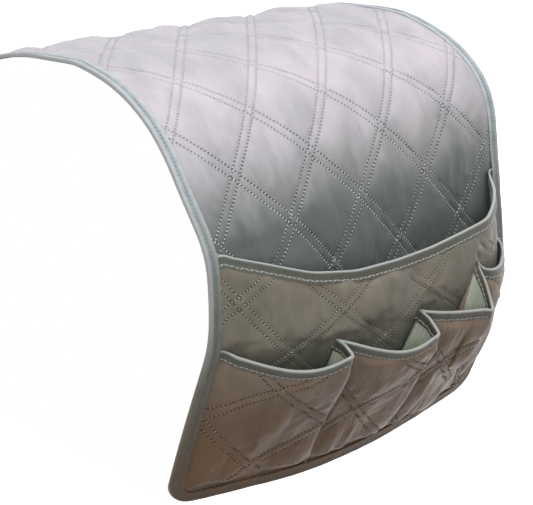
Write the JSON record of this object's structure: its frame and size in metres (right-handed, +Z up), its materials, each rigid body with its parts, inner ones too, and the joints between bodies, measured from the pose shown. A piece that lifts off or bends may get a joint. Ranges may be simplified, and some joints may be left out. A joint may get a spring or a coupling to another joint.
{
  "type": "sofa armrest organizer",
  "caption": "Quilted cover that hangs over a sofa armrest, with a wide magazine pocket on its front half and a strip of remote-control pockets sewn over it.",
  "frame": {"origin": "on the underside of the cover's backing, in the middle of the part that lies flat on top of the armrest", "axes": "+Z up, -Z out of the backing onto the armrest, -Y towards the pocket side, +X across the cover, to the right of someone facing the pockets"},
  "size_m": [0.33, 0.383, 0.3454],
  "materials": {
    "cover_quilt": "satin quilted cloth",
    "cover_backing": "matt non-slip cloth",
    "edge_tape": "satin woven tape",
    "magazine_pocket_quilt": "satin quilted cloth",
    "magazine_pocket_lining": "matt cloth",
    "magazine_pocket_rim_tape": "satin tape",
    "remote_pockets_quilt": "satin quilted cloth",
    "remote_pockets_lining": "matt cloth",
    "remote_pockets_rim_tape": "satin tape"
  },
  "bodies": {
    "root": {"cover_quilt": "cover_quilt", "cover_backing": "cover_backing", "edge_tape": "edge_tape", "magazine_pocket_quilt": "magazine_pocket_quilt", "magazine_pocket_lining": "magazine_pocket_lining", "magazine_pocket_rim_tape": "magazine_pocket_rim_tape", "remote_pockets_quilt": "remote_pockets_quilt", "remote_pockets_lining": "remote_pockets_lining", "remote_pockets_rim_tape": "remote_pockets_rim_tape"}
  },
  "joints": []
}
